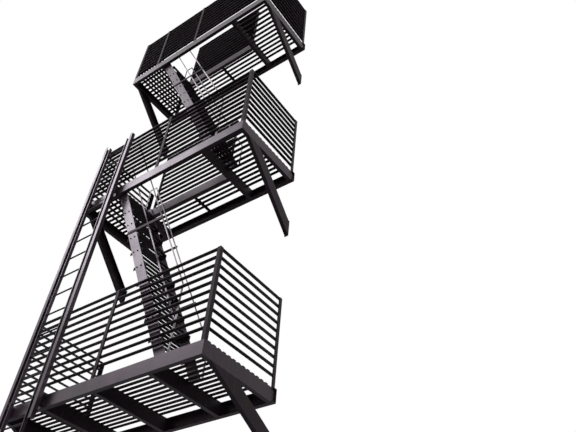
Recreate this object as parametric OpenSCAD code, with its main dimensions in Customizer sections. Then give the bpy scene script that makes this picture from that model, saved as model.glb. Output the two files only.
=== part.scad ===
// Wall-hung steel fire escape: three stacked balconies carried by diagonal
// braces, two steep open stairs between them and a drop ladder at the left end,
// shown raised, that slides down in its guides.
// +X runs along the wall to the right as seen from the street, +Y runs into the
// wall and +Z is up. The origin is the middle of the back face of the lowest
// balcony's wall ledger. Each balcony is built in its own frame, in which z = 0
// is the top of its channels and y = 0 is the face of the wall.

/* [Balconies] */
// Length of each balcony along the wall
balcony_l = 2850; // [2700:10:3300]
// Reach of each balcony from the wall to its street face
balcony_d = 1050; // [1000:10:1250]
// Height from one balcony to the next
storey_h = 3050; // [2800:10:3300]
// Right end face to the first cross channel
right_bay = 640; // [560:10:760]
// Left end face to the cross channel that carries the stair heads
left_bay = 700; // [620:10:860]

/* [Channels] */
// Depth of every channel
ch_d = 150; // [140:5:180]
// Width of a channel over its flanges
ch_b = 50; // [45:1:60]
// Thickness of a channel web
ch_w = 7; // [6:0.5:9]
// Thickness of a channel flange at its middle
ch_f = 9; // [8:0.5:11]
// Depth from the top of the channels to the foot of the two upper braces
brace_drop = 1065; // [950:5:1200]
// Depth from the top of the channels to the foot of the lowest braces
low_brace_drop = 620; // [500:5:900]

/* [Floor] */
// Width of a floor slat
slat_w = 38; // [32:1:44]
// Thickness of a floor slat
slat_t = 10; // [8:1:12]
// Spacing of the floor slats
slat_pitch = 70; // [64:1:78]
// Slats between the street face and the stair opening's far side
street_slats = 8; // [7:1:9]

/* [Guards] */
// Height of a guard above the channels
guard_h = 1067; // [1000:1:1200]
// Number of bars in a guard
guard_bars = 10; // [8:1:11]
// Spacing of the bars
guard_pitch = 102; // [95:1:110]
// Number of bars in the guard beside a stair opening
well_bars = 11; // [9:1:12]
// Width of a guard bar, laid flat
bar_w = 38; // [30:1:44]
// Thickness of a guard bar
bar_t = 10; // [8:1:12]
// Thickness of the angles used as posts
post_t = 6; // [5:0.5:8]

/* [Stairs] */
// Number of rises in a flight
risers = 11; // [10:1:13]
// Going of one tread
going = 142; // [130:1:160]
// Width of a stringer plate
stringer_w = 127; // [110:1:150]
// Thickness of a stringer plate
stringer_t = 10; // [8:1:12]
// Diameter of a handrail rod
rod_d = 16; // [14:1:20]
// Height of the top handrail above a balcony's channels
rail_h = 900; // [850:10:1000]
// Height of the middle handrail above a balcony's channels
mid_rail_h = 430; // [380:10:480]

/* [Ladder] */
// Left end face of the balconies to the ladder's left guide
ladder_in = 125; // [80:1:160]
// Width over the ladder's guides
ladder_w = 575; // [540:1:640]
// Width and depth of the channels used as guides
guide = 50; // [44:1:60]
// Gap between a guide and the ladder's stile
side_gap = 50; // [30:5:60]
// Spacing of the rungs
rung_pitch = 280; // [250:5:300]
// Diameter of a rung
rung_d = 20; // [18:1:25]

/* [Hidden] */
$fn = 48;
e = 1;
c_steel = [0.19, 0.18, 0.18];
c_face = [0.33, 0.32, 0.33];
c_slat = [0.16, 0.15, 0.15];

half_l = balcony_l / 2;
street_y = -balcony_d;
toe_y = street_y + ch_b;
first_x = half_l - right_bay;
header_x = -half_l + left_bay;
mid_x = (first_x + header_x) / 2;

// channel flanges taper from root to toe, and the cope clears the root
flange_taper = 1.5;
flange_root = ch_f + flange_taper;
flange_toe = ch_f - flange_taper;
cope_gap = 2;
cope_h = flange_root + cope_gap;

ledger_over = 20;
wall_hole_x = 1100;
wall_hole_dz = 35;
wall_hole_d = 22;

seat = 5;
wall_slat_gap = 20;
slat_n = floor((balcony_d - 2 * ch_b - slat_w - wall_slat_gap) / slat_pitch) + 1;
near_y = toe_y + seat;
far_y = toe_y + (street_slats - 1) * slat_pitch;
trimmer_y = far_y + stringer_t + seat;
batten_w = 50;
batten_t = 7;

rise = storey_h / risers;
slope = atan2(rise, going);
stringer_hw = stringer_w / 2 / sin(slope);
low_rod = 273;
top_rod = 508;
newel_d = 20;
newel_gap = 5;
newel_x = header_x + risers * going + stringer_hw + newel_d / 2 + newel_gap;
ball_over = 4;
lug = 40;
lug_side = 23;
lug_over = 3;
wall_rail_end = 65;
stanchion_z = [1000, 2040];
stanchion_t = 8;
tread_slats = 4;
tread_pitch = 54;
tread_t = 8;
cleat = 40;
cleat_t = 5;

// a brace's lower edge leaves the end channel here
brace_in = 80;
brace_y = toe_y + brace_in;
plate_t = 10;
plate_over = 4;
foot_bolt_d = 18;
foot_bolt_dz = 80;

post_leg = bar_w + post_t;
mid_post_in = 70;
mid_post_x = mid_x - mid_post_in;
newel_post_in = 150;
newel_post_x = header_x - newel_post_in;
wall_gap = 10;

// the well guard stands on the trimmer, from near the header to the landing's slats
well_in = 85;
well_left = header_x + well_in;
well_right = first_x - ch_b - seat;
well_pitch = guard_h / well_bars;

guide_t = 5;
stand_off = 40;
guide_y = street_y - stand_off;
ladder_x = -half_l + ladder_in;
guide_foot = -280;
guide_top = storey_h + guard_h;
bracket_t = 6;
bracket_leg = 40;
bracket_end = 5;
bracket_h = ch_d - 2 * bracket_end;

// the ladder runs between its guides on shoes, each level with a rung
stile_w = 40;
stile_t = 10;
stile_x = guide + side_gap;
ladder_foot = -450;
ladder_below = 60;
ladder_top = guide_top - ladder_below;
rung_in = 140;
rung_n = floor((ladder_top - ladder_foot - 2 * rung_in) / rung_pitch) + 1;
shoe_rungs = [1, 6, 11, 15];
shoe_gap = 5;
run_gap = 0.5;
shoe_w = guide - 2 * guide_t - 2 * run_gap;
shoe_l = 25;
shoe_h = 80;

module at_level(k) {
    translate([0, 0, ch_d / 2 + k * storey_h])
        children();
}

// Channel outline: outer face of the web on x = 0, top on y = 0
module channel_profile(d = ch_d, b = ch_b, w = ch_w) {
    polygon([
        [0, 0],
        [b, 0],
        [b, -flange_toe],
        [w, -flange_root],
        [w, -d + flange_root],
        [b, -d + flange_toe],
        [b, -d],
        [0, -d]
    ]);
}

module angle_profile(leg, t) {
    polygon([[0, 0], [leg, 0], [leg, t], [t, t], [t, leg], [0, leg]]);
}

// Channel along +X from x = 0, web on y = 0 and flanges towards +Y
module channel_x(len) {
    rotate([90, 0, 90])
        linear_extrude(len)
            channel_profile();
}

// Channel from the fascia's web to the ledger's web, with its flanges coped
// back at both ends; web face on x = 0 and flanges towards -X
module coped_channel() {
    difference() {
        translate([0, -ch_w, 0])
            rotate([90, 0, 0])
                linear_extrude(balcony_d - 2 * ch_w)
                    mirror([1, 0])
                        channel_profile();
        for (y = [street_y, -ch_b], z = [-cope_h, -ch_d - e])
            translate([-ch_b - e, y, z])
                cube([ch_b + 2 * e, ch_b, cope_h + e]);
    }
}

module fascia() {
    color(c_face)
        translate([-half_l, street_y, 0])
            channel_x(balcony_l);
}

module ledger() {
    color(c_steel)
        difference() {
            translate([-half_l - ledger_over, 0, 0])
                mirror([0, 1, 0])
                    channel_x(balcony_l + 2 * ledger_over);
            for (x = [-wall_hole_x, wall_hole_x], dz = [-wall_hole_dz, wall_hole_dz])
                translate([x, e, -ch_d / 2 + dz])
                    rotate([90, 0, 0])
                        cylinder(d = wall_hole_d, h = ch_w + 2 * e);
        }
}

module end_channels() {
    color(c_steel)
        for (s = [0, 1])
            mirror([s, 0, 0])
                translate([half_l, 0, 0])
                    coped_channel();
}

module cross_channels(xs) {
    color(c_steel)
        for (x = xs)
            translate([x, 0, 0])
                coped_channel();
}

// Trimmer along the stair opening, from the header to the first cross channel
module trimmer() {
    color(c_face)
        difference() {
            translate([header_x, trimmer_y, 0])
                channel_x(first_x - ch_w - header_x);
            for (z = [-cope_h, -ch_d - e])
                translate([first_x - ch_b, trimmer_y - e, z])
                    cube([ch_b, ch_b + 2 * e, cope_h + e]);
        }
}

module slats(first, last, x0, x1) {
    for (i = [first:last])
        translate([x0, toe_y + slat_pitch * i, 0])
            cube([x1 - x0, slat_w, slat_t]);
}

module whole_floor() {
    color(c_slat)
        slats(0, slat_n - 1, -half_l, half_l);
}

// Slats on the wall side of the opening, on a batten at mid-span
module floor_wall() {
    color(c_slat) {
        slats(street_slats, slat_n - 1, -half_l, half_l);
        translate([mid_x - batten_w / 2, trimmer_y + ch_b, -batten_t])
            cube([batten_w, -ch_b - trimmer_y - ch_b, batten_t]);
    }
}

module floor_right() {
    color(c_slat)
        slats(0, street_slats - 1, first_x - ch_b, half_l);
}

module floor_left() {
    color(c_slat)
        slats(0, street_slats - 1, -half_l, header_x);
}

module post(h = guard_h) {
    linear_extrude(h)
        angle_profile(post_leg, post_t);
}

// Street guard: angle posts on the fascia with flat bars behind their street legs
module front_guard() {
    color(c_steel) {
        for (s = [0, 1])
            mirror([s, 0, 0])
                translate([-half_l, street_y, 0])
                    post();
        for (x = [mid_post_x, newel_post_x])
            translate([x - post_leg / 2, street_y, 0])
                post();
        for (k = [0:guard_bars - 1])
            translate([-half_l + post_t, street_y + post_t, guard_h - bar_t - k * guard_pitch])
                cube([balcony_l - 2 * post_t, bar_w, bar_t]);
    }
}

// End guard: bars from the street guard to an angle post beside the wall
module end_guard() {
    bar_y = street_y + post_t + bar_w;
    color(c_steel) {
        translate([half_l, -wall_gap, 0])
            rotate([0, 0, 180])
                post();
        for (k = [0:guard_bars - 1])
            translate([half_l - post_t - bar_w, bar_y, guard_h - bar_t - k * guard_pitch])
                cube([bar_w, -wall_gap - post_t - bar_y, bar_t]);
    }
}

module right_guard() {
    end_guard();
}

module left_guard() {
    mirror([1, 0, 0])
        end_guard();
}

// Guard between a stair opening and the wall side: flat bars between two uprights
module well_guard() {
    color(c_steel)
        translate([well_left, trimmer_y + (ch_b - bar_w) / 2, 0]) {
            for (x = [0, well_right - well_left - bar_t])
                translate([x, 0, 0])
                    cube([bar_t, bar_w, guard_h]);
            for (k = [1:well_bars])
                translate([0, 0, k * well_pitch - bar_t])
                    cube([well_right - well_left, bar_w, bar_t]);
        }
}

module front_and_well_guards() {
    front_guard();
    well_guard();
}

// Channel brace with its web flush with the end channel's. It is cut level
// under the end channel and plumb at its foot plate on the wall
module brace(drop) {
    slant = atan2(drop - ch_d, -brace_y);
    cut_h = ch_d / cos(slant);
    plate_h = cut_h + 2 * plate_t * tan(slant);
    difference() {
        translate([0, 0, cut_h - drop])
            rotate([-slant, 0, 0])
                translate([0, 2 * ch_d, 0])
                    rotate([90, 0, 0])
                        linear_extrude(2 * balcony_d)
                            mirror([1, 0])
                                channel_profile();
        translate([-2 * ch_b, -plate_t, -2 * drop])
            cube([3 * ch_b, 3 * ch_d, 3 * drop]);
        translate([-2 * ch_b, -3 * balcony_d, -ch_d])
            cube([3 * ch_b, 4 * balcony_d, 2 * drop]);
    }
    difference() {
        translate([-ch_b - plate_over, -plate_t, -drop])
            cube([ch_b + plate_over, plate_t, plate_h]);
        for (dz = [-foot_bolt_dz / 2, foot_bolt_dz / 2])
            translate([-(ch_w + ch_b) / 2, e, -drop + plate_h / 2 + dz])
                rotate([90, 0, 0])
                    cylinder(d = foot_bolt_d, h = plate_t + 2 * e);
    }
}

module braces(drop) {
    color(c_steel)
        for (s = [0, 1])
            mirror([s, 0, 0])
                translate([half_l, 0, 0])
                    brace(drop);
}

// Distance along the wall of a flight's centre line at height z
function stair_x(z) = header_x + (storey_h - z) * going / rise;

module stringer(y) {
    plumb_z = storey_h - stringer_hw * rise / going;
    translate([0, y + stringer_t, 0])
        rotate([90, 0, 0])
            linear_extrude(stringer_t)
                polygon([
                    [stair_x(slat_t) - stringer_hw, slat_t],
                    [stair_x(slat_t) + stringer_hw, slat_t],
                    [header_x + stringer_hw, storey_h],
                    [header_x, storey_h],
                    [header_x, plumb_z]
                ]);
}

module stringers() {
    color(c_face) {
        stringer(near_y);
        stringer(far_y);
    }
}

// Tread of flat slats on an angle cleat at each end
module tread(k) {
    y0 = near_y + stringer_t;
    y1 = far_y;
    depth = (tread_slats - 1) * tread_pitch + slat_w;
    translate([stair_x(rise * k) - depth / 2, 0, slat_t + rise * k - tread_t]) {
        for (i = [0:tread_slats - 1])
            translate([i * tread_pitch, y0, 0])
                cube([slat_w, y1 - y0, tread_t]);
        translate([0, y0, 0])
            rotate([0, 90, 0])
                linear_extrude(depth)
                    angle_profile(cleat, cleat_t);
        translate([0, y1, 0])
            mirror([0, 1, 0])
                rotate([0, 90, 0])
                    linear_extrude(depth)
                        angle_profile(cleat, cleat_t);
    }
}

module treads() {
    color(c_slat)
        for (k = [1:risers - 1])
            tread(k);
}

// Round rod along a path of [x, z] points with a ball at each bend, on y = 0
module rod_path(p, d = rod_d) {
    for (i = [0:len(p) - 2])
        rod(p[i], p[i + 1], d);
    for (i = [1:1:len(p) - 2])
        translate([p[i].x, 0, p[i].y])
            sphere(d = d + ball_over);
}

// Straight rod between two [x, z] points, centred on y = 0
module rod(a, b, d = rod_d) {
    rotate([90, 0, 0])
        translate([a.x, a.y, 0])
            rotate([0, 90, atan2(b.y - a.y, b.x - a.x)])
                cylinder(d = d, h = norm(b - a));
}

// Upright at the foot of a handrail, from the slats to a ball at its head
module newel(h) {
    translate([newel_x, 0, slat_t]) {
        cylinder(d = newel_d, h = h - slat_t);
        translate([0, 0, h - slat_t])
            sphere(d = newel_d + ball_over);
    }
}

// Height at which a rod set off from the stringer's centre line meets the newel
function newel_z(offset) = (header_x + offset + risers * going - newel_x) * rise / going;

module stanchions(y, reach) {
    for (z = stanchion_z)
        translate([stair_x(z) - stringer_hw, y, z - bar_w / 2])
            cube([stringer_hw + reach + rod_d, stanchion_t, bar_w]);
}

module street_handrail() {
    top_z = storey_h + rail_h;
    mid_z = storey_h + mid_rail_h;
    end_x = newel_post_x - post_leg / 2;
    color(c_face)
        translate([0, near_y + rod_d / 4, 0]) {
            newel(newel_z(top_rod));
            rod_path([
                [newel_x, newel_z(top_rod)],
                [stair_x(top_z) + top_rod, top_z],
                [end_x, top_z]
            ]);
            rod_path([
                [newel_x, newel_z(low_rod)],
                [stair_x(mid_z) + low_rod, mid_z],
                [end_x, mid_z]
            ]);
        }
    color(c_steel) {
        stanchions(near_y - stanchion_t, top_rod);
        for (z = [top_z, mid_z])
            translate([end_x + lug_side - lug, street_y + post_leg, z - lug / 2])
                cube([lug, near_y + lug_over - street_y - post_leg, lug]);
    }
}

module wall_handrail() {
    mid_z = storey_h + mid_rail_h;
    foot_x = header_x - wall_rail_end;
    color(c_face)
        translate([0, far_y + stringer_t - rod_d / 4, 0]) {
            newel(newel_z(low_rod));
            rod_path([
                [newel_x, newel_z(low_rod)],
                [stair_x(mid_z) + low_rod, mid_z],
                [foot_x, mid_z],
                [foot_x, storey_h + slat_t]
            ]);
        }
    color(c_steel)
        stanchions(far_y + stringer_t, low_rod);
}

// Guide for the ladder: a small channel with its web outwards, open inwards
module guide_rail() {
    linear_extrude(guide_top - guide_foot)
        difference() {
            square([guide, guide]);
            translate([guide_t, guide_t])
                square([guide, guide - 2 * guide_t]);
        }
}

module ladder_guides() {
    color(c_face)
        for (s = [0, 1])
            translate([ladder_x + s * ladder_w, guide_y - guide, guide_foot])
                mirror([s, 0, 0])
                    guide_rail();
}

// Angles that stand the guides off the two lower fascias
module ladder_brackets() {
    color(c_steel)
        for (k = [0, 1], s = [0, 1])
            translate([ladder_x + s * ladder_w, guide_y, k * storey_h - (ch_d + bracket_h) / 2])
                mirror([s, 0, 0]) {
                    cube([bracket_t, stand_off, bracket_h]);
                    translate([bracket_t - bracket_leg, stand_off - bracket_t, 0])
                        cube([bracket_leg, bracket_t, bracket_h]);
                }
}

function rung_z(i) = ladder_foot + rung_in + i * rung_pitch;

// Flat-bar stile with the shoes that slide in the guide beside it
module stile() {
    translate([stile_x, -stile_w / 2, ladder_foot])
        cube([stile_t, stile_w, ladder_top - ladder_foot]);
    for (i = shoe_rungs)
        translate([guide_t + shoe_gap, 0, rung_z(i)]) {
            translate([0, -shoe_w / 2, -shoe_h / 2])
                cube([shoe_l, shoe_w, shoe_h]);
            rotate([0, 90, 0])
                cylinder(d = rung_d, h = stile_x + e - guide_t - shoe_gap);
        }
}

module ladder_stiles() {
    color(c_face)
        for (s = [0, 1])
            translate([ladder_x + s * ladder_w, guide_y - guide / 2, 0])
                mirror([s, 0, 0])
                    stile();
}

module ladder_rungs() {
    color(c_steel)
        for (i = [0:rung_n - 1])
            translate([ladder_x + stile_x + stile_t, guide_y - guide / 2, rung_z(i)])
                rotate([0, 90, 0])
                    cylinder(d = rung_d, h = ladder_w - 2 * (stile_x + stile_t));
}

at_level(0) fascia();  // lower_fascia
at_level(0) ledger();  // lower_ledger
at_level(0) end_channels();  // lower_end_channels
at_level(0) cross_channels([header_x, mid_x, first_x]);  // lower_cross_channels
at_level(0) whole_floor();  // lower_floor
at_level(0) front_guard();  // lower_front_guard
at_level(0) right_guard();  // lower_right_guard
at_level(0) left_guard();  // lower_left_guard
at_level(0) braces(low_brace_drop);  // lower_braces
at_level(1) fascia();  // middle_fascia
at_level(1) ledger();  // middle_ledger
at_level(1) end_channels();  // middle_end_channels
at_level(1) cross_channels([header_x, first_x]);  // middle_cross_channels
at_level(1) trimmer();  // middle_trimmer
at_level(1) floor_wall();  // middle_floor_wall
at_level(1) floor_right();  // middle_floor_right
at_level(1) floor_left();  // middle_floor_left
at_level(1) front_and_well_guards();  // middle_front_guard
at_level(1) right_guard();  // middle_right_guard
at_level(1) left_guard();  // middle_left_guard
at_level(1) braces(brace_drop);  // middle_braces
at_level(2) fascia();  // upper_fascia
at_level(2) ledger();  // upper_ledger
at_level(2) end_channels();  // upper_end_channels
at_level(2) cross_channels([header_x, first_x]);  // upper_cross_channels
at_level(2) trimmer();  // upper_trimmer
at_level(2) floor_wall();  // upper_floor_wall
at_level(2) floor_right();  // upper_floor_right
at_level(2) floor_left();  // upper_floor_left
at_level(2) front_and_well_guards();  // upper_front_guard
at_level(2) right_guard();  // upper_right_guard
at_level(2) left_guard();  // upper_left_guard
at_level(2) braces(brace_drop);  // upper_braces
at_level(0) stringers();  // lower_stringers
at_level(0) treads();  // lower_treads
at_level(0) street_handrail();  // lower_street_handrail
at_level(0) wall_handrail();  // lower_wall_handrail
at_level(1) stringers();  // upper_stringers
at_level(1) treads();  // upper_treads
at_level(1) street_handrail();  // upper_street_handrail
at_level(1) wall_handrail();  // upper_wall_handrail
at_level(0) ladder_guides();
at_level(0) ladder_brackets();
at_level(0) ladder_stiles();
at_level(0) ladder_rungs();
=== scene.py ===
"""Fire escape stair: three wall-hung balconies, two steep stairs and a drop ladder.

Dresses the fixed frame with rolled edges, bolts, rivets and weld beads, and paints it
in weathered near-black. All sizes are in metres.
"""

import math
import random
from collections import namedtuple

import bmesh
import bpy
from mathutils import Matrix, Vector


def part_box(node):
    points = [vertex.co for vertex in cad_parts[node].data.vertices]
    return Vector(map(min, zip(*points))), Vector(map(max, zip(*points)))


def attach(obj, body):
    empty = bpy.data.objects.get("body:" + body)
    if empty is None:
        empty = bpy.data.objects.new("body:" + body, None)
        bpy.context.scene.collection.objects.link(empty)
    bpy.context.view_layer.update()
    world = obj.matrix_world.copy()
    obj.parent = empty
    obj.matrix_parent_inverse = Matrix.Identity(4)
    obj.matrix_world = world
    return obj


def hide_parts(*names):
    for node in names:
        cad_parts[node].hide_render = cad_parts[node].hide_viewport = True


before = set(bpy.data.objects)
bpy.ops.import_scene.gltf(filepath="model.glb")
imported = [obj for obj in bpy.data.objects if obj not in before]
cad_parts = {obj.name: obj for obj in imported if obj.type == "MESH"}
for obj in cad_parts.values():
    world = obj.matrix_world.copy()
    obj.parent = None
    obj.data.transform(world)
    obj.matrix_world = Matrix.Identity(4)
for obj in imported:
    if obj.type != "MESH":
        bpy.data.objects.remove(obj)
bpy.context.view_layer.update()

bl_info = {
    "name": "Fire escape stair",
    "version": (1, 0, 0),
    "blender": (4, 5, 0),
    "location": "3D View > Sidebar > Fire escape",
    "description": "Fixings, weld beads and weathered paint for a wall-hung fire escape",
    "category": "Object",
}

# Bodies, balconies, and the balcony on which each flight stands
STAIR = "stair"
LADDER = "drop_ladder"
LEVELS = ("lower", "middle", "upper")
FLIGHTS = {"lower": "lower", "upper": "middle"}

# What the frame says
TOP = {name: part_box(name + "_fascia")[1].z for name in LEVELS}  # tops of the channels
HALF_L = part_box("lower_fascia")[1].x
FRONT_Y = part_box("lower_fascia")[0].y
CH_D = TOP["lower"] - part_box("lower_fascia")[0].z  # depth of a channel
STOREY = TOP["middle"] - TOP["lower"]
HEADER_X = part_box("middle_trimmer")[0].x  # cross channel at the head of a flight
FIRST_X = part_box("middle_cross_channels")[1].x  # cross channel at the foot of a flight
MID_X = (HEADER_X + FIRST_X) / 2
SLAT_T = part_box("lower_floor")[1].z - TOP["lower"]
NEAR_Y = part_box("lower_stringers")[0].y
FAR_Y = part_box("lower_stringers")[1].y
GUARD_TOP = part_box("lower_front_guard")[1].z - TOP["lower"]
GUIDE_X = (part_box("ladder_guides")[0].x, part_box("ladder_guides")[1].x)
GUIDE_BACK_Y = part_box("ladder_guides")[1].y

# Sections and spacings, as in the frame
FLANGE = 0.050  # width of a channel
WEB_T = 0.007
FLANGE_T = 0.009
TOE_Y = FRONT_Y + FLANGE  # inner edge of the fascia's flanges
SLAT_W = 0.038
SLAT_PITCH = 0.070
SLATS = 13
RISERS = 11
RISE = STOREY / RISERS
GOING = 0.142
STRINGER_T = 0.010
TREAD_SLATS = 4
TREAD_PITCH = 0.054
TREAD_T = 0.008
CLEAT = 0.040  # leg of the angles that carry the treads
CLEAT_T = 0.005
BAR_W = 0.038
BAR_T = 0.010
BAR_PITCH = 0.102
BARS = 10
POST_LEG = 0.044
POST_T = 0.006
WALL_GAP = 0.010  # between the guards' last posts and the wall
BRACE_DROP = {name: TOP[name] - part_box(name + "_braces")[0].z for name in LEVELS}
BRACE_Y = TOE_Y + 0.080
PLATE_T = 0.010  # foot plate of a brace
WELL_LEFT = HEADER_X + 0.085  # guard beside the stair opening
WELL_RIGHT = FIRST_X - FLANGE - 0.005
WELL_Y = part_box("middle_trimmer")[0].y + (FLANGE - BAR_W) / 2
WELL_BARS = 11
BRACKET_T = 0.006
BRACKET_LEG = 0.040
NEWEL_BACK = 0.150  # from the header channel to the post left of it
MID_POST_BACK = 0.070  # from the middle channel to the post left of it
STANCHION_Z = (1.000, 2.040)  # flat bars of the handrails, above the channels

# Places of fixings and beads; DZ is above and below the middle of what is bolted
ANCHOR_X = 1.1  # to both sides of the balcony's middle
ANCHOR_DZ = 0.035
FOOT_BOLT_DZ = 0.040
TREAD_BOLT_DROP = 0.026  # below a tread's top
TREAD_RIVET_D = 0.012
TREAD_RIVET_IN = 0.6 * CLEAT  # inwards from the stringer
BRACKET_BOLT_D = 0.012
BRACKET_BOLT_DZ = 0.045
BRACKET_BOLT_OUT = 0.004  # outwards from the middle of the bracket's leg
BRACKET_BEAD = 0.062  # half its length
WEB_END = 0.016  # beads stop this short of a channel's top and bottom
BRACE_END = 0.02
POST_END = 0.008
BAR_END = 0.004

# Radii of rolled edges on bars and plates
SLAT_EDGE = 0.0016
BAR_EDGE = 0.0014
STRINGER_EDGE = 0.0020
TREAD_EDGE = 0.0012
LADDER_EDGE = 0.0015
BRACKET_EDGE = 0.0012

# Small tolerances and shares
SUNK = 0.0006  # fixings and beads start this far inside what they sit on
MERGE = 0.00001  # corners closer than this are one
FLAT = math.radians(0.6)  # faces closer than this are one face
SHARP = math.radians(20)  # edges beyond this are rounded
CREASE = math.radians(30)  # and on handrails, shaded sharp
LOOKS_OUT = 0.7  # least cosine to the front or the end
SQUARE = 0.9999  # least cosine of a face square to an axis
ROUNDING = 0.0001
LIGHT_WELD = 0.7  # beads on bars and brackets, as a share of the frame's

# Fixings, as multiples of the thread or head diameter
ACROSS_FLATS = 1.6
WASHER_T = 0.15
HEAD_T = 0.66

# Weld beads: distance between ripples, height of the crown and waist of a ripple
RIPPLE = 0.010
CROWN = 0.58
WAIST = 0.86
BEAD_TAPER = 0.8


class FireEscapePaint(bpy.types.PropertyGroup):
    paint: bpy.props.FloatVectorProperty(
        name="Paint", description="Colour of the sound paint", subtype="COLOR",
        size=3, min=0, max=1, default=(0.0098, 0.0062, 0.0082))
    # Faded paint, which on the sheen face and end paints is also painted sheen
    faded: bpy.props.FloatVectorProperty(
        name="Faded paint", description="Colour of the paint where weather has bleached it",
        subtype="COLOR", size=3, min=0, max=1, default=(0.060, 0.035, 0.051))
    dust: bpy.props.FloatVectorProperty(
        name="Dust", description="Colour of the dust that lies on upper faces",
        subtype="COLOR", size=3, min=0, max=1, default=(0.100, 0.090, 0.088))
    rust: bpy.props.FloatVectorProperty(
        name="Rust", description="Colour of dry rust", subtype="COLOR",
        size=3, min=0, max=1, default=(0.070, 0.028, 0.013))
    bare: bpy.props.FloatVectorProperty(
        name="Bare steel", description="Colour of steel where the paint has rubbed off",
        subtype="COLOR", size=3, min=0, max=1, default=(0.60, 0.57, 0.60))


class FireEscapeFixings(bpy.types.PropertyGroup):
    anchor_d: bpy.props.FloatProperty(
        name="Wall anchor", description="Thread diameter of the wall anchors",
        default=0.020, unit="LENGTH")
    foot_bolt_d: bpy.props.FloatProperty(
        name="Brace foot bolt", description="Thread diameter of the bolts at the braces' feet",
        default=0.016, unit="LENGTH")
    tread_bolt_d: bpy.props.FloatProperty(
        name="Tread bolt", description="Thread diameter of the bolts that hold the treads",
        default=0.010, unit="LENGTH")
    tread_bolt_gap: bpy.props.FloatProperty(
        name="Tread bolt spacing", description="Distance between a tread's two bolts",
        default=0.066, unit="LENGTH")
    rivet_d: bpy.props.FloatProperty(
        name="Slat rivet", description="Diameter of the rivet heads on the floor slats",
        default=0.016, unit="LENGTH")
    weld: bpy.props.FloatProperty(
        name="Weld size", description="Leg of the fillet welds", default=0.006, unit="LENGTH")
    edge: bpy.props.FloatProperty(
        name="Rolled edge", description="Radius of the edges of rolled channels",
        default=0.0030, unit="LENGTH")


class FireEscapeStage(bpy.types.PropertyGroup):
    floor_z: bpy.props.FloatProperty(
        name="Floor", description="Height of the studio floor", default=-4.45, unit="LENGTH")
    lens: bpy.props.FloatProperty(
        name="Lens", description="Focal length on a 36 mm sensor", default=39.476,
        unit="CAMERA")
    key: bpy.props.FloatProperty(
        name="Key light", description="Strength of the soft key light", default=0.5)
    dome: bpy.props.FloatProperty(
        name="Dome", description="Strength of the light from the studio's dome", default=0.85)


# ---- shader nodes -------------------------------------------------------------------

def add_node(tree, kind, **values):
    """A new node with its own settings, such as operation or data_type."""
    node = tree.nodes.new(kind)
    for key, value in values.items():
        setattr(node, key, value)
    return node


def feed(tree, socket, value):
    """Links an output to a socket, or sets the socket where the value is a number."""
    if isinstance(value, bpy.types.NodeSocket):
        tree.links.new(value, socket)
    else:
        socket.default_value = value


def calc(tree, operation, a, b=0.0, clamp=False):
    """Output of a Math node."""
    node = add_node(tree, "ShaderNodeMath", operation=operation, use_clamp=clamp)
    feed(tree, node.inputs[0], a)
    feed(tree, node.inputs[1], b)
    return node.outputs[0]


def times(tree, a, b, clamp=False):
    """Product of two values."""
    return calc(tree, "MULTIPLY", a, b, clamp)


def weighted(tree, *terms):
    """Sum of values, each multiplied by its weight."""
    total = None
    for value, weight in terms:
        part = times(tree, value, weight)
        total = part if total is None else calc(tree, "ADD", total, part)
    return total


def spread(tree, value, low, high, to_low=0.0, to_high=1.0):
    """Smooth step from to_low to to_high as value goes from low to high."""
    node = add_node(tree, "ShaderNodeMapRange", interpolation_type="SMOOTHSTEP")
    for socket, number in zip(node.inputs[:5], (value, low, high, to_low, to_high)):
        feed(tree, socket, number)
    return node.outputs[0]


def noise(tree, vector, scale, detail, roughness=0.55, distortion=0.0):
    """Fractal noise of about 0 to 1, scale being its blotches per metre."""
    node = add_node(tree, "ShaderNodeTexNoise", noise_dimensions="3D")
    feed(tree, node.inputs["Vector"], vector)
    node.inputs["Scale"].default_value = scale
    node.inputs["Detail"].default_value = detail
    node.inputs["Roughness"].default_value = roughness
    node.inputs["Distortion"].default_value = distortion
    return node.outputs[0]


def stretch(tree, vector, scale):
    """Coordinates scaled on each axis, for a noise that runs longer one way."""
    node = add_node(tree, "ShaderNodeMapping")
    feed(tree, node.inputs["Vector"], vector)
    node.inputs["Scale"].default_value = scale
    return node.outputs[0]


def blend_color(tree, mask, a, b):
    """Colour a where mask is 0 and b where it is 1; each an output or three numbers."""
    node = add_node(tree, "ShaderNodeMix", data_type="RGBA")
    feed(tree, node.inputs[0], mask)
    for socket, value in ((node.inputs[6], a), (node.inputs[7], b)):
        if isinstance(value, bpy.types.NodeSocket):
            tree.links.new(value, socket)
        else:
            socket.default_value = (*value, 1.0)
    return node.outputs[2]


def new_group(name, inputs, outputs):
    """A shader node group with float sockets, its input node and its output node."""
    group = bpy.data.node_groups.new(name, "ShaderNodeTree")
    for label, default in inputs.items():
        socket = group.interface.new_socket(
            label, in_out="INPUT", socket_type="NodeSocketFloat")
        socket.default_value = default
    for label in outputs:
        group.interface.new_socket(label, in_out="OUTPUT", socket_type="NodeSocketFloat")
    return group, add_node(group, "NodeGroupInput"), add_node(group, "NodeGroupOutput")


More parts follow.
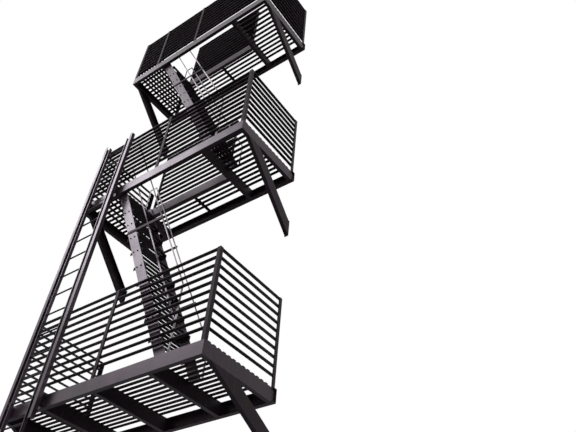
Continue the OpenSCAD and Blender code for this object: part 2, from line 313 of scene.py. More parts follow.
def weather_group():
    """Dust on upper faces, rain streaks on upright ones, rust blooms and fading."""
    if "weather" in bpy.data.node_groups:
        return bpy.data.node_groups["weather"]
    tree, given, put = new_group(
        "weather", {"Dust": 0.5, "Rust": 0.5, "Streaks": 0.5},
        ("Dust", "Rust", "Streaks", "Fading"))
    where = add_node(tree, "ShaderNodeTexCoord")
    spot = where.outputs["Object"]
    parts = add_node(tree, "ShaderNodeSeparateXYZ")
    tree.links.new(where.outputs["Normal"], parts.inputs[0])
    up = parts.outputs["Z"]
    broad = noise(tree, spot, scale=2.3, detail=3.0)
    patchy = noise(tree, spot, scale=16.0, detail=6.0, roughness=0.62)
    fine = noise(tree, spot, scale=85.0, detail=5.0, roughness=0.6)

    # Dust lies loose on upper faces, and as a thin film elsewhere
    lying = spread(tree, up, low=0.15, high=0.95)
    loose = weighted(tree, (patchy, 0.7), (fine, 0.3))
    dust = times(tree, lying, spread(tree, loose, low=0.34, high=0.62))
    film = times(tree, spread(tree, broad, low=0.45, high=0.75),
                 spread(tree, fine, low=0.38, high=0.66, to_high=0.30))
    dust = calc(tree, "MAXIMUM", dust, film)
    dust = times(tree, dust, given.outputs["Dust"], clamp=True)

    # Rain runs down upright faces
    run = noise(tree, stretch(tree, spot, (34.0, 34.0, 1.5)), scale=1.0, detail=5.0,
                roughness=0.6)
    upright = spread(tree, calc(tree, "ABSOLUTE", up), low=0.75, high=0.25)
    streaks = times(tree, upright, spread(tree, run, low=0.50, high=0.72))
    streaks = times(tree, streaks, given.outputs["Streaks"], clamp=True)

    # Rust blooms in broad patches, with freckles between them
    patches = noise(tree, spot, scale=6.5, detail=8.0, roughness=0.66, distortion=0.4)
    rust = spread(tree, weighted(tree, (patches, 0.72), (fine, 0.28)), low=0.575, high=0.665)
    specks = noise(tree, spot, scale=210.0, detail=3.0, roughness=0.5)
    freckles = spread(tree, specks, low=0.66, high=0.74)
    rust = calc(tree, "MAXIMUM", rust, times(tree, freckles, 0.8))
    rust = times(tree, rust, given.outputs["Rust"], clamp=True)

    fading = spread(tree, broad, low=0.30, high=0.72)
    for label, value in (("Dust", dust), ("Rust", rust), ("Streaks", streaks),
                         ("Fading", fading)):
        feed(tree, put.inputs[label], value)
    return tree


def edge_wear_group():
    """Paint along edges: Edge is 1 on the edge itself, Bare where it has chipped off."""
    if "edge_wear" in bpy.data.node_groups:
        return bpy.data.node_groups["edge_wear"]
    tree, given, put = new_group("edge_wear", {"Wear": 0.5}, ("Bare", "Edge"))
    spot = add_node(tree, "ShaderNodeTexCoord").outputs["Object"]
    rounded = add_node(tree, "ShaderNodeBevel", samples=6)
    rounded.inputs["Radius"].default_value = 0.005
    true_normal = add_node(tree, "ShaderNodeNewGeometry").outputs["True Normal"]
    match = add_node(tree, "ShaderNodeVectorMath", operation="DOT_PRODUCT")
    tree.links.new(rounded.outputs[0], match.inputs[0])
    tree.links.new(true_normal, match.inputs[1])
    edge = spread(tree, match.outputs["Value"], low=0.995, high=0.86)
    chips = weighted(
        tree, (noise(tree, spot, scale=24.0, detail=6.0, roughness=0.65), 0.6),
        (noise(tree, spot, scale=150.0, detail=4.0, roughness=0.6), 0.4))
    bare = times(tree, edge, spread(tree, chips, low=0.50, high=0.60))
    feed(tree, put.inputs["Bare"], times(tree, bare, given.outputs["Wear"], clamp=True))
    feed(tree, put.inputs["Edge"], edge)
    return tree


def grain_group():
    """Height of brushed paint: orange peel, brush drag, pits and rust crust."""
    if "paint_grain" in bpy.data.node_groups:
        return bpy.data.node_groups["paint_grain"]
    tree, given, put = new_group("paint_grain", {"Rust": 0.0}, ("Height",))
    spot = add_node(tree, "ShaderNodeTexCoord").outputs["Object"]
    peel = noise(tree, spot, scale=330.0, detail=2.0, roughness=0.5)
    drag = noise(tree, stretch(tree, spot, (90.0, 700.0, 90.0)), scale=1.0, detail=3.0,
                 roughness=0.6)
    pits = spread(tree, noise(tree, spot, scale=900.0, detail=2.0, roughness=0.5),
                  low=0.30, high=0.42)
    crust = times(tree, noise(tree, spot, scale=520.0, detail=6.0, roughness=0.7),
                  given.outputs["Rust"])
    height = weighted(tree, (peel, 0.40), (drag, 0.18), (pits, 0.22))
    feed(tree, put.inputs["Height"], calc(tree, "ADD", height, crust))
    return tree


def place_group(tree, group, **values):
    """A node group placed in a material, with the material's own values."""
    node = add_node(tree, "ShaderNodeGroup", node_tree=group)
    for label, value in values.items():
        feed(tree, node.inputs[label], value)
    return node


# A finish: the record's slot; how much dust, rust and rain streaks lie on it; how far its
# edges have chipped; share rubbed bare by hands; share of the paler paint, faded paint
# and on the sheen face and end paints painted sheen; roughness of the sound paint; gloss
Finish = namedtuple("Finish", "slot dust rust streaks wear rubbed faded rough gloss")
FINISHES = {
    "frame_paint": Finish("frame_steel", 0.45, 0.40, 0.30, 0.30, 0.0, 0.35, 0.48, 0.11),
    # The face and end paints are paler, glossier copies of the frame paint, for faces that look
    # out and for the ladder's guides and stiles all over: painted sheen
    "sheen_face_paint": Finish("frame_steel", 0.60, 0.30, 0.50, 0.36, 0.0, 1.00, 0.26, 0.52),
    "sheen_end_paint": Finish("frame_steel", 0.50, 0.34, 0.45, 0.34, 0.0, 0.60, 0.40, 0.28),
    "rail_paint": Finish("rail_steel", 0.60, 0.35, 0.25, 0.34, 0.0, 0.30, 0.42, 0.10),
    "rod_steel": Finish("rail_steel", 0.20, 0.16, 0.20, 0.60, 2.8, 1.00, 0.30, 0.50),
    "slat_paint": Finish("slat_steel", 0.85, 0.55, 0.15, 0.36, 0.0, 0.20, 0.55, 0.07),
    "bolt_steel": Finish("frame_steel", 0.55, 0.90, 0.30, 0.40, 0.0, 0.40, 0.50, 0.22),
    "weld_paint": Finish("frame_steel", 0.40, 0.85, 0.20, 0.24, 0.0, 0.25, 0.52, 0.14),
}
EDGE_FADE = 0.35  # edges fade by at least this
EDGE_RUST = 0.35  # bare edges rust by at least this
STREAK_COVER = 0.45
DUST_COVER = 0.72
GLOSS_TINT = (1.0, 0.84, 0.97, 1.0)


def finish(name):
    """The material of that finish, built the first time it is asked for."""
    if name in bpy.data.materials:
        return bpy.data.materials[name]
    given = FINISHES[name]
    paint = bpy.context.scene.fire_escape_paint
    material = bpy.data.materials.new(name)
    material.use_nodes = True
    tree = material.node_tree
    shader = tree.nodes["Principled BSDF"]
    weather = place_group(tree, weather_group(), Dust=given.dust, Rust=given.rust,
                          Streaks=given.streaks).outputs
    edges = place_group(tree, edge_wear_group(), Wear=given.wear).outputs
    bare = edges["Bare"]
    # Paler paint: random fading and paler edges, and on the sheen face and end paints, painted
    # sheen
    faded = calc(tree, "MAXIMUM", times(tree, weather["Fading"], given.faded),
                 times(tree, edges["Edge"], EDGE_FADE))
    rusty = calc(tree, "MAXIMUM", weather["Rust"], times(tree, bare, EDGE_RUST))
    if given.rubbed:
        bare = calc(tree, "MAXIMUM", bare,
                    times(tree, weather["Fading"], given.rubbed, clamp=True))

    color = blend_color(tree, faded, paint.paint, paint.faded)
    color = blend_color(tree, times(tree, weather["Streaks"], STREAK_COVER), color, paint.dust)
    color = blend_color(tree, bare, color, paint.bare)
    color = blend_color(tree, rusty, color, paint.rust)
    color = blend_color(tree, times(tree, weather["Dust"], DUST_COVER), color, paint.dust)
    tree.links.new(color, shader.inputs["Base Color"])

    roughness = given.rough
    for value, share in ((weather["Dust"], 0.32), (rusty, 0.35), (weather["Fading"], 0.08)):
        roughness = calc(tree, "ADD", roughness, times(tree, value, share), clamp=True)
    tree.links.new(roughness, shader.inputs["Roughness"])
    metal = times(tree, bare, calc(tree, "SUBTRACT", 1.0, rusty), clamp=True)
    tree.links.new(metal, shader.inputs["Metallic"])
    shader.inputs["Specular IOR Level"].default_value = given.gloss
    shader.inputs["Specular Tint"].default_value = GLOSS_TINT

    bump = add_node(tree, "ShaderNodeBump")
    bump.inputs["Strength"].default_value = 0.35
    bump.inputs["Distance"].default_value = 0.0012
    grain = place_group(tree, grain_group(), Rust=rusty)
    height = calc(tree, "SUBTRACT", grain.outputs["Height"], times(tree, bare, 0.4))
    tree.links.new(height, bump.inputs["Height"])
    tree.links.new(bump.outputs[0], shader.inputs["Normal"])
    return material


# ---- mesh helpers -------------------------------------------------------------------

def new_mesh(name, bm):
    """A mesh of the bmesh, which is freed."""
    mesh = bpy.data.meshes.new(name)
    bm.to_mesh(mesh)
    bm.free()
    return mesh


def show(name, bm, finishes, body):
    """Makes an object of the bmesh, painted and riding on its body."""
    mesh = new_mesh(name, bm)
    for finish_name in finishes:
        mesh.materials.append(finish(finish_name))
    obj = bpy.data.objects.new(name, mesh)
    bpy.context.scene.collection.objects.link(obj)
    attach(obj, body)
    return obj


def keep_piece(name, bm, finish_name):
    """Shows fixings or beads that were gathered in one bmesh, all on the stair's body."""
    bmesh.ops.recalc_face_normals(bm, faces=bm.faces)
    show(name, bm, (finish_name,), STAIR)


def copy_node(node):
    """A bmesh of a frame node's solid, its loose triangles joined."""
    bm = bmesh.new()
    bm.from_mesh(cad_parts[node].data)
    bmesh.ops.remove_doubles(bm, verts=bm.verts, dist=MERGE)
    return bm


def turn_to(axis):
    """Rotation that takes +Z to the given axis."""
    return Vector((0, 0, 1)).rotation_difference(Vector(axis)).to_matrix().to_4x4()


def stamp(bm, mesh, at, axis=(0, 0, 1), spin=0.0):
    """Copies a small mesh to a place, its +Z turned to axis."""
    first = len(bm.verts)
    bm.from_mesh(mesh)
    bm.verts.ensure_lookup_table()
    matrix = Matrix.Translation(at) @ turn_to(axis) @ Matrix.Rotation(spin, 4, "Z")
    bmesh.ops.transform(bm, matrix=matrix, verts=bm.verts[first:])


def disc(bm, sides, radius, low, high, rim, top_radius=None):
    """Short closed prism from low to high with its top rim bevelled."""
    made = bmesh.ops.create_cone(
        bm, cap_ends=True, segments=sides, radius1=radius,
        radius2=radius if top_radius is None else top_radius, depth=high - low)
    bmesh.ops.translate(bm, verts=made["verts"], vec=(0, 0, (low + high) / 2))
    edges = dict.fromkeys(edge for vert in made["verts"] for edge in vert.link_edges)
    top = [edge for edge in edges if all(v.co.z > high - MERGE for v in edge.verts)]
    bmesh.ops.bevel(bm, geom=top, offset=rim, offset_type="OFFSET", affect="EDGES",
                    segments=1, profile=0.5, material=-1)


def hex_fixing(name, thread, stud, sides):
    """Round washer and hexagon head or nut, with the stud's end where it shows."""
    washer = WASHER_T * thread
    top = washer + HEAD_T * thread
    bm = bmesh.new()
    disc(bm, sides, radius=thread, low=-SUNK, high=washer, rim=0.05 * thread)
    disc(bm, 6, radius=ACROSS_FLATS * thread / math.sqrt(3), low=washer - SUNK, high=top,
         rim=0.09 * thread)
    if stud:
        disc(bm, 10, radius=thread / 2, low=washer, high=top + stud, rim=0.1 * thread)
    return new_mesh(name, bm)


def rivet_head(name, diameter):
    """Low domed head of eight sides."""
    bm = bmesh.new()
    disc(bm, 8, radius=diameter / 2, low=-SUNK, high=0.28 * diameter, rim=0.13 * diameter,
         top_radius=0.40 * diameter)
    return new_mesh(name, bm)


def bead(bm, start, end, off_a, off_b, leg):
    """Fillet weld from start to end in the corner of two faces, whose normals are given."""
    start, end, off_a, off_b = (Vector(v) for v in (start, end, off_a, off_b))
    run = end - start
    steps = max(2, round(run.length / RIPPLE))
    corner = start - (off_a + off_b) * SUNK
    crown = start + (off_a + off_b) * leg * CROWN
    points = (corner, start + off_a * leg - off_b * SUNK, crown,
              start + off_b * leg - off_a * SUNK)
    face = bm.faces.new([bm.verts.new(p) for p in points])
    for step in range(1, steps + 1):
        out = bmesh.ops.extrude_face_region(bm, geom=[face])["geom"]
        if step > 1:  # the face between two ripples is hidden inside
            bmesh.ops.delete(bm, geom=[face], context="FACES_ONLY")
        verts = [g for g in out if isinstance(g, bmesh.types.BMVert)]
        face = next(g for g in out if isinstance(g, bmesh.types.BMFace))
        bmesh.ops.translate(bm, verts=verts, vec=run / steps)
        middle = corner + run * step / steps
        size = WAIST if step % 2 else 1 / WAIST
        if step == steps:
            size *= BEAD_TAPER
        bmesh.ops.scale(bm, vec=(size, size, size), space=Matrix.Translation(-middle),
                        verts=verts)


def looks_out(face):
    """Whether a face looks to the front, or out at one end of the object."""
    outward = face.normal.x if face.calc_center_median().x > 0 else -face.normal.x
    return face.normal.y < -LOOKS_OUT or outward > LOOKS_OUT


def roll_edges(node, radius, finish_name, body=STAIR, shaded_side_finish=None):
    """A copy of a frame node with its sharp edges rounded, shown in the node's place.

    With a finish for the shaded side, only the faces that look out take the first one; as used
    here that is a paler, glossier copy of the paint, which is painted sheen.
    """
    bm = copy_node(node)
    bmesh.ops.dissolve_limit(bm, angle_limit=FLAT, verts=bm.verts, edges=bm.edges,
                             use_dissolve_boundaries=False)
    for face in bm.faces:
        face.smooth = True
        # Faces that look out take the painted sheen paint, the others the shaded side's paint
        face.material_index = int(shaded_side_finish is not None and not looks_out(face))
    finishes = (finish_name, shaded_side_finish) if shaded_side_finish else (finish_name,)
    obj = show(node + "_rolled", bm, finishes, body)
    soft = obj.modifiers.new("rolled edges", "BEVEL")
    soft.width = radius
    soft.segments = 2
    soft.limit_method = "ANGLE"
    soft.angle_limit = SHARP
    soft.use_clamp_overlap = True
    flat = obj.modifiers.new("flat faces", "WEIGHTED_NORMAL")
    flat.weight = 75
    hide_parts(node)


def dress_handrail(node, base):
    """A copy of a handrail: rods rubbed bright by hands, their flat bars still painted."""
    bm = copy_node(node)
    half = BAR_W / 2 + ROUNDING
    for face in bm.faces:
        face.smooth = True
        square = max(abs(part) for part in face.normal) > SQUARE
        face.material_index = int(square and any(
            all(abs(vert.co.z - base - z) < half for vert in face.verts)
            for z in STANCHION_Z))
    obj = show(node + "_dressed", bm, ("rod_steel", "rail_paint"), STAIR)
    obj.data.set_sharp_from_angle(angle=CREASE)
    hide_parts(node)


def paint_node(node, finish_name):
    """Paints a frame node whose shape is right as it is."""
    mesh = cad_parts[node].data
    mesh.materials.clear()
    mesh.materials.append(finish(finish_name))


# ---- pieces -------------------------------------------------------------------------

class FIREESCAPE_OT_channels(bpy.types.Operator):
    """Rolled channels of the three balconies: fascias, ledgers, end and cross channels"""
    bl_idname = "fireescape.channels"
    bl_label = "Channels"

    def execute(self, context):
        edge = context.scene.fire_escape_fixings.edge
        for level in LEVELS:
            # Faces of fascias and end channels that look out take the painted sheen paint
            roll_edges(level + "_fascia", edge, "sheen_face_paint", shaded_side_finish="frame_paint")
            roll_edges(level + "_end_channels", edge, "sheen_end_paint", shaded_side_finish="frame_paint")
            for part in ("_ledger", "_cross_channels"):
                roll_edges(level + part, edge, "frame_paint")
        for level in LEVELS[1:]:
            # Faces of trimmers that look out take the painted sheen paint
            roll_edges(level + "_trimmer", edge, "sheen_face_paint", shaded_side_finish="frame_paint")
        return {"FINISHED"}


class FIREESCAPE_OT_braces(bpy.types.Operator):
    """Diagonal braces with their foot plates"""
    bl_idname = "fireescape.braces"
    bl_label = "Braces"

    def execute(self, context):
        for level in LEVELS:
            roll_edges(level + "_braces", context.scene.fire_escape_fixings.edge, "frame_paint")
        return {"FINISHED"}


class FIREESCAPE_OT_floors(bpy.types.Operator):
    """Floor slats of the balconies, worn on top"""
    bl_idname = "fireescape.floors"
    bl_label = "Floors"

    def execute(self, context):
        for node in sorted(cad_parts):
            if "_floor" in node:
                roll_edges(node, SLAT_EDGE, "slat_paint")
        return {"FINISHED"}


class FIREESCAPE_OT_guards(bpy.types.Operator):
    """Guards of flat bars: front, ends and beside the stair openings"""
    bl_idname = "fireescape.guards"
    bl_label = "Guards"

    def execute(self, context):
        for node in sorted(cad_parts):
            if "_guard" in node:
                roll_edges(node, BAR_EDGE, "rail_paint")
        return {"FINISHED"}


class FIREESCAPE_OT_stairs(bpy.types.Operator):
    """Stringers, treads and handrails of both flights"""
    bl_idname = "fireescape.stairs"
    bl_label = "Stairs"

    def execute(self, context):
        for flight, level in FLIGHTS.items():
            # Faces of stringers that look out take the painted sheen paint
            roll_edges(flight + "_stringers", STRINGER_EDGE, "sheen_face_paint",
                       shaded_side_finish="frame_paint")
            roll_edges(flight + "_treads", TREAD_EDGE, "slat_paint")
            for side in ("_street", "_wall"):
                dress_handrail(flight + side + "_handrail", TOP[level])
        return {"FINISHED"}


class FIREESCAPE_OT_ladder(bpy.types.Operator):
    """Drop ladder with its guides and brackets"""
    bl_idname = "fireescape.ladder"
    bl_label = "Ladder"

    def execute(self, context):
        # Guides and stiles take the painted sheen paint all over
        roll_edges("ladder_guides", LADDER_EDGE, "sheen_face_paint")
        roll_edges("ladder_brackets", BRACKET_EDGE, "frame_paint")
        roll_edges("ladder_stiles", LADDER_EDGE, "sheen_face_paint", LADDER)
        paint_node("ladder_rungs", "rail_paint")
        return {"FINISHED"}


def brace_slope(level):
    """Angle of a brace above the level, running out from its foot."""
    return math.atan2(BRACE_DROP[level] - CH_D, -BRACE_Y)


def brace_foot(level):
    """Lowest and highest point of a brace's end on its foot plate."""
    slope = brace_slope(level)
    low = TOP[level] - BRACE_DROP[level] + PLATE_T * math.tan(slope)
    return low, low + CH_D / math.cos(slope)


class FIREESCAPE_OT_wall_fixings(bpy.types.Operator):
    """Nuts on the wall anchors of the ledgers and of the braces' feet"""
    bl_idname = "fireescape.wall_fixings"
    bl_label = "Wall fixings"

    def execute(self, context):
        sizes = context.scene.fire_escape_fixings
        draw = random.Random(11)
        anchor = hex_fixing("anchor", sizes.anchor_d, stud=0.010, sides=20)
        foot = hex_fixing("foot_bolt", sizes.foot_bolt_d, stud=0.008, sides=16)
        bm = bmesh.new()
        for level in LEVELS:
            middle = TOP[level] - CH_D / 2
            for x in (-ANCHOR_X, ANCHOR_X):
                for dz in (-ANCHOR_DZ, ANCHOR_DZ):
                    at = (x, -WEB_T, middle + dz)
                    stamp(bm, anchor, at, (0, -1, 0), draw.uniform(0, 1))
        keep_piece("wall_anchors", bm, "bolt_steel")
        bm = bmesh.new()
        for level in LEVELS:
            middle = sum(brace_foot(level)) / 2
            for side in (-1, 1):
                for dz in (-FOOT_BOLT_DZ, FOOT_BOLT_DZ):
                    at = (side * (HALF_L - (WEB_T + FLANGE) / 2), -PLATE_T, middle + dz)
                    stamp(bm, foot, at, (0, -1, 0), draw.uniform(0, 1))
        keep_piece("brace_foot_bolts", bm, "bolt_steel")
        return {"FINISHED"}


def tread_spots(flight):
    """Middle of each tread's top, as x and z."""
    for k in range(1, RISERS):
        yield HEADER_X + (RISERS - k) * GOING, TOP[FLIGHTS[flight]] + SLAT_T + RISE * k


class FIREESCAPE_OT_tread_fixings(bpy.types.Operator):
    """Bolts through the stringers and rivets on the treads' slats"""
    bl_idname = "fireescape.tread_fixings"
    bl_label = "Tread fixings"

    def execute(self, context):
        sizes = context.scene.fire_escape_fixings
        draw = random.Random(12)
        head = hex_fixing("tread_bolt", sizes.tread_bolt_d, stud=0.0, sides=12)
        nut = hex_fixing("tread_nut", sizes.tread_bolt_d, stud=0.005, sides=12)
        rivet = rivet_head("tread_rivet", TREAD_RIVET_D)
        depth = (TREAD_SLATS - 1) * TREAD_PITCH + SLAT_W
        near_in = NEAR_Y + STRINGER_T
        far_in = FAR_Y - STRINGER_T
        faces = ((head, NEAR_Y, -1), (nut, near_in + CLEAT_T, 1),
                 (head, FAR_Y, 1), (nut, far_in - CLEAT_T, -1))
        for flight in FLIGHTS:
            bm = bmesh.new()
            for x, z in tread_spots(flight):
                for dx in (-sizes.tread_bolt_gap / 2, sizes.tread_bolt_gap / 2):
                    for fixing, y, off in faces:
                        at = (x + dx, y, z - TREAD_BOLT_DROP)
                        stamp(bm, fixing, at, (0, off, 0), draw.uniform(0, 1))
            keep_piece(flight + "_tread_bolts", bm, "bolt_steel")
            bm = bmesh.new()
            for x, z in tread_spots(flight):
                for i in range(TREAD_SLATS):
                    slat_x = x - depth / 2 + i * TREAD_PITCH + SLAT_W / 2
                    for y in (near_in + TREAD_RIVET_IN, far_in - TREAD_RIVET_IN):
                        stamp(bm, rivet, (slat_x, y, z), spin=draw.uniform(0, 1))
                        stamp(bm, rivet, (slat_x, y, z - TREAD_T - CLEAT_T), (0, 0, -1))
            keep_piece(flight + "_tread_rivets", bm, "slat_paint")
        return {"FINISHED"}


def slat_crossings(level):
    """Middle of each crossing of a slat and the channel below it, as x and y."""
    half = FLANGE / 2
    xs = [-HALF_L + half, HEADER_X - half, FIRST_X - half, HALF_L - half]
    if level == "lower":
        xs.insert(2, MID_X - half)
    for i in range(SLATS):
        for x in xs:
            yield x, TOE_Y + SLAT_PITCH * i + SLAT_W / 2


class FIREESCAPE_OT_slat_rivets(bpy.types.Operator):
    """Rivets that hold the floor slats to the channels, headed above and below"""
    bl_idname = "fireescape.slat_rivets"
    bl_label = "Slat rivets"

    def execute(self, context):
        head = rivet_head("slat_rivet", context.scene.fire_escape_fixings.rivet_d)
        for level in LEVELS:
            bm = bmesh.new()
            for x, y in slat_crossings(level):
                stamp(bm, head, (x, y, TOP[level] + SLAT_T))
                stamp(bm, head, (x, y, TOP[level] - FLANGE_T), (0, 0, -1))
            keep_piece(level + "_slat_rivets", bm, "slat_paint")
        return {"FINISHED"}


def web_welds(bm, level, leg):
    """Upright beads of the end and cross channels' webs, at the fascia and the ledger."""
    low, high = TOP[level] - CH_D + WEB_END, TOP[level] - WEB_END
    webs = [(-HALF_L + WEB_T, (1,)), (HALF_L, (-1,)), (HEADER_X, (1, -1)), (FIRST_X, (1, -1))]
    if level == "lower":
        webs.append((MID_X, (1, -1)))
    for right, sides in webs:
        for y, off in ((FRONT_Y + WEB_T, 1), (-WEB_T, -1)):
            for side in sides:
                x = right if side == 1 else right - WEB_T
                bead(bm, (x, y, low), (x, y, high), (side, 0, 0), (0, off, 0), leg)


def brace_welds(bm, level, leg):
    """Beads at both ends of the braces: under the end channels and on the foot plates."""
    reach = CH_D / math.sin(brace_slope(level))
    under = TOP[level] - CH_D
    foot, head = brace_foot(level)
    for side in (-1, 1):
        x = side * (HALF_L - WEB_T)
        bead(bm, (x, BRACE_Y + BRACE_END, under), (x, BRACE_Y + reach - BRACE_END, under),
             (-side, 0, 0), (0, 0, -1), leg)
        bead(bm, (x, -PLATE_T, foot + BRACE_END), (x, -PLATE_T, head - BRACE_END),
             (-side, 0, 0), (0, -1, 0), leg)


class FIREESCAPE_OT_frame_welds(bpy.types.Operator):
    """Weld beads where channels and braces meet"""
    bl_idname = "fireescape.frame_welds"
    bl_label = "Frame welds"

    def execute(self, context):
        leg = context.scene.fire_escape_fixings.weld
        for level in LEVELS:
            bm = bmesh.new()
            web_welds(bm, level, leg)
            brace_welds(bm, level, leg)
            keep_piece(level + "_frame_welds", bm, "weld_paint")
        return {"FINISHED"}


def post_spots():
    """Left edge of each front post, and the side to which its front leg runs: 1 is right."""
    newel = HEADER_X - NEWEL_BACK - POST_LEG / 2
    mid_post = MID_X - MID_POST_BACK - POST_LEG / 2
    return ((-HALF_L, 1), (newel, 1), (mid_post, 1), (HALF_L - POST_LEG, -1))


def outer_guard_welds(bm, base, leg):
    """Beads of a balcony's guards: bars to posts, and posts to the fascia's top."""
    inner_y = FRONT_Y + POST_T
    near, far = -WALL_GAP - POST_LEG, -WALL_GAP - POST_T
    for i in range(BARS):
        bar_top = base + GUARD_TOP - i * BAR_PITCH
        for z, off in ((bar_top, 1), (bar_top - BAR_T, -1)):
            if i == 0 and off == 1:
                continue  # the posts end level with the top bar
            for x, side in post_spots():
                left, right = x, x + POST_LEG
                if side == 1:
                    left = x + POST_T
                else:
                    right = x + POST_LEG - POST_T
                bead(bm, (left, inner_y, z), (right, inner_y, z), (0, 1, 0), (0, 0, off), leg)
            for side in (-1, 1):
                x = side * (HALF_L - POST_T)
                bead(bm, (x, near, z), (x, far, z), (-side, 0, 0), (0, 0, off), leg)
    for x, _ in post_spots():
        bead(bm, (x + POST_END, inner_y, base), (x + POST_LEG - POST_END, inner_y, base),
             (0, 1, 0), (0, 0, 1), leg)


def well_guard_welds(bm, base, leg):
    """Beads of one guard beside a stair opening: bars to uprights, uprights to trimmer."""
    near, far = WELL_Y + BAR_END, WELL_Y + BAR_W - BAR_END
    for x, side in ((WELL_LEFT + BAR_T, 1), (WELL_RIGHT - BAR_T, -1)):
        for k in range(1, WELL_BARS + 1):
            bar_top = base + GUARD_TOP * k / WELL_BARS
            if k < WELL_BARS:
                bead(bm, (x, near, bar_top), (x, far, bar_top), (side, 0, 0), (0, 0, 1), leg)
            under = bar_top - BAR_T
            bead(bm, (x, near, under), (x, far, under), (side, 0, 0), (0, 0, -1), leg)
        bead(bm, (x, near, base), (x, far, base), (side, 0, 0), (0, 0, 1), leg)


class FIREESCAPE_OT_guard_welds(bpy.types.Operator):
    """Weld beads where the guards' bars meet their posts"""
    bl_idname = "fireescape.guard_welds"
    bl_label = "Guard welds"

    def execute(self, context):
        leg = LIGHT_WELD * context.scene.fire_escape_fixings.weld
        for level in LEVELS:
            bm = bmesh.new()
            outer_guard_welds(bm, TOP[level], leg)
            if level != "lower":
                well_guard_welds(bm, TOP[level], leg)
            keep_piece(level + "_guard_welds", bm, "weld_paint")
        return {"FINISHED"}


class FIREESCAPE_OT_ladder_fixings(bpy.types.Operator):
    """Bolts of the ladder guides' brackets, and the beads between guide and bracket"""
    bl_idname = "fireescape.ladder_fixings"
    bl_label = "Ladder fixings"

    def execute(self, context):
        draw = random.Random(13)
        leg = LIGHT_WELD * context.scene.fire_escape_fixings.weld
        bolt = hex_fixing("bracket_bolt", BRACKET_BOLT_D, stud=0.0, sides=14)
        bolts = bmesh.new()
        seams = bmesh.new()
        for level in LEVELS[:2]:
            middle = TOP[level] - CH_D / 2
            for guide, side in ((GUIDE_X[0], 1), (GUIDE_X[1], -1)):
                flange = guide + side * (BRACKET_T - BRACKET_LEG / 2)
                for dz in (-BRACKET_BOLT_DZ, BRACKET_BOLT_DZ):
                    at = (flange - side * BRACKET_BOLT_OUT, FRONT_Y - BRACKET_T, middle + dz)
                    stamp(bolts, bolt, at, (0, -1, 0), draw.uniform(0, 1))
                x = guide + side * BRACKET_T
                bead(seams, (x, GUIDE_BACK_Y, middle - BRACKET_BEAD),
                     (x, GUIDE_BACK_Y, middle + BRACKET_BEAD), (side, 0, 0), (0, 1, 0), leg)
        keep_piece("bracket_bolts", bolts, "bolt_steel")
        keep_piece("bracket_welds", seams, "weld_paint")
        return {"FINISHED"}


# ---- stage --------------------------------------------------------------------------

# Camera, low at the right end and looking up
CAMERA_AT = (4.918, -4.403, -2.8465)
CAMERA_RIGHT = (0.81470755, 0.57638528, 0.063495)
CAMERA_UP = (0.35598723, -0.58358246, 0.72986616)
CAMERA_BACK = (0.45773868, -0.57202406, -0.68063484)
CLIP_END = 200

# Key light: where it shines from, its width in degrees and its colour
KEY_FROM = (-0.64, -0.40, 0.66)
KEY_WIDTH = 19
KEY_COLOR = (0.98, 0.93, 1.0)
KEY_AWAY = 6

# Dome light, dimmer low down, and the floor as light and as the camera see it
DOME_COLOR = (0.93, 0.96, 1.0, 1)
DOME_LOW = 0.15
FLOOR_RADIUS = 60
FLOOR_LIT = (0.10, 0.10, 0.10)
FLOOR_SEEN = (0.80, 0.80, 0.79)


def shows_backdrop(tree):
    """1 for the rays that see the backdrop itself: the camera's, gloss and glass."""
    rays = add_node(tree, "ShaderNodeLightPath").outputs
    return calc(tree, "MAXIMUM", rays["Is Camera Ray"],
                calc(tree, "MAXIMUM", rays["Is Glossy Ray"], rays["Is Transmission Ray"]))


def set_camera(scene, lens):
    """The camera, at the photograph's viewing angle."""
    camera = bpy.data.cameras.new("camera")
    camera.lens = lens
    camera.sensor_width = 36
    camera.sensor_fit = "HORIZONTAL"
    camera.clip_end = CLIP_END
    view = bpy.data.objects.new("camera", camera)
    scene.collection.objects.link(view)
    matrix = Matrix((CAMERA_RIGHT, CAMERA_UP, CAMERA_BACK)).transposed().to_4x4()
    matrix.translation = CAMERA_AT
    view.matrix_world = matrix
    scene.camera = view


def lay_floor(scene, height):
    """Wide floor, pale to the camera and to gloss, but dull enough to throw little light up."""
    bm = bmesh.new()
    bmesh.ops.create_circle(bm, cap_ends=True, segments=64, radius=FLOOR_RADIUS)
    bmesh.ops.translate(bm, verts=bm.verts, vec=(0, 0, height))
    mesh = new_mesh("floor", bm)
    pale = bpy.data.materials.new("pale_floor")
    pale.use_nodes = True
    tree = pale.node_tree
    shader = tree.nodes["Principled BSDF"]
    tree.links.new(blend_color(tree, shows_backdrop(tree), FLOOR_LIT, FLOOR_SEEN),
                   shader.inputs["Base Color"])
    shader.inputs["Roughness"].default_value = 0.9
    mesh.materials.append(pale)
    floor = bpy.data.objects.new("floor", mesh)
    scene.collection.objects.link(floor)


def hang_key_light(scene, strength):
    """Soft sun from the front, whose gloss lights the faces that look out."""
    lamp = bpy.data.lights.new("key_light", "SUN")
    lamp.energy = strength
    lamp.angle = math.radians(KEY_WIDTH)
    lamp.color = KEY_COLOR
    obj = bpy.data.objects.new("key_light", lamp)
    scene.collection.objects.link(obj)
    obj.rotation_mode = "QUATERNION"
    obj.rotation_quaternion = Vector(KEY_FROM).to_track_quat("Z", "Y")
    obj.location = Vector(KEY_FROM) * KEY_AWAY


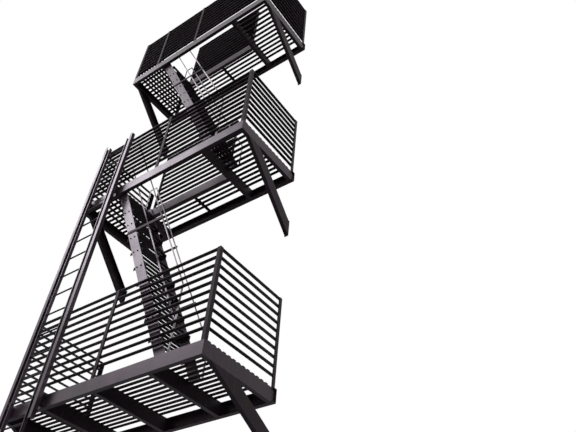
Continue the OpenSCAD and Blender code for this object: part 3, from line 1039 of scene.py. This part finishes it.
def raise_dome(scene, strength):
    """Soft dome light, which the camera, gloss and glass see as plain white."""
    world = bpy.data.worlds.new("studio")
    scene.world = world
    world.use_nodes = True
    tree = world.node_tree
    tree.nodes.clear()
    parts = add_node(tree, "ShaderNodeSeparateXYZ")
    tree.links.new(add_node(tree, "ShaderNodeTexCoord").outputs["Generated"], parts.inputs[0])
    dome = add_node(tree, "ShaderNodeBackground")
    dome.inputs["Color"].default_value = DOME_COLOR
    feed(tree, dome.inputs["Strength"],
         spread(tree, parts.outputs["Z"], low=-0.4, high=0.7,
                to_low=DOME_LOW * strength, to_high=strength))
    backdrop = add_node(tree, "ShaderNodeBackground")
    backdrop.inputs["Color"].default_value = (1, 1, 1, 1)
    mix = add_node(tree, "ShaderNodeMixShader")
    feed(tree, mix.inputs[0], shows_backdrop(tree))
    tree.links.new(dome.outputs[0], mix.inputs[1])
    tree.links.new(backdrop.outputs[0], mix.inputs[2])
    tree.links.new(mix.outputs[0], add_node(tree, "ShaderNodeOutputWorld").inputs[0])


class FIREESCAPE_OT_stage(bpy.types.Operator):
    """Pale floor, soft studio light and the camera"""
    bl_idname = "fireescape.stage"
    bl_label = "Stage"

    def execute(self, context):
        scene = context.scene
        sizes = scene.fire_escape_stage
        set_camera(scene, sizes.lens)
        lay_floor(scene, sizes.floor_z)
        hang_key_light(scene, sizes.key)
        raise_dome(scene, sizes.dome)
        scene.view_settings.view_transform = "Standard"
        return {"FINISHED"}


class FIREESCAPE_PT_panel(bpy.types.Panel):
    """Lists the sizes and colours, and a button for each operator"""
    bl_label = "Fire escape"
    bl_idname = "FIREESCAPE_PT_panel"
    bl_space_type = "VIEW_3D"
    bl_region_type = "UI"
    bl_category = "Fire escape"

    def draw(self, context):
        for name in GROUPS:
            group = getattr(context.scene, name)
            box = self.layout.box()
            for size in group.__annotations__:
                box.prop(group, size)
        for operator in OPERATORS:
            self.layout.operator(operator.bl_idname)


OPERATORS = (
    FIREESCAPE_OT_channels, FIREESCAPE_OT_braces, FIREESCAPE_OT_floors, FIREESCAPE_OT_guards,
    FIREESCAPE_OT_stairs, FIREESCAPE_OT_ladder, FIREESCAPE_OT_wall_fixings,
    FIREESCAPE_OT_tread_fixings, FIREESCAPE_OT_slat_rivets, FIREESCAPE_OT_frame_welds,
    FIREESCAPE_OT_guard_welds, FIREESCAPE_OT_ladder_fixings, FIREESCAPE_OT_stage,
)
GROUPS = {
    "fire_escape_paint": FireEscapePaint,
    "fire_escape_fixings": FireEscapeFixings,
    "fire_escape_stage": FireEscapeStage,
}


def register():
    for cls in (*GROUPS.values(), *OPERATORS, FIREESCAPE_PT_panel):
        bpy.utils.register_class(cls)
    for name, cls in GROUPS.items():
        setattr(bpy.types.Scene, name, bpy.props.PointerProperty(type=cls))


def unregister():
    for name in GROUPS:
        delattr(bpy.types.Scene, name)
    for cls in (FIREESCAPE_PT_panel, *reversed(OPERATORS), *GROUPS.values()):
        bpy.utils.unregister_class(cls)


def main():
    register()
    for operator in OPERATORS:
        space, call = operator.bl_idname.split(".")
        if getattr(getattr(bpy.ops, space), call)() != {"FINISHED"}:
            raise RuntimeError(operator.bl_label + " did not finish")


if __name__ == "__main__":
    main()
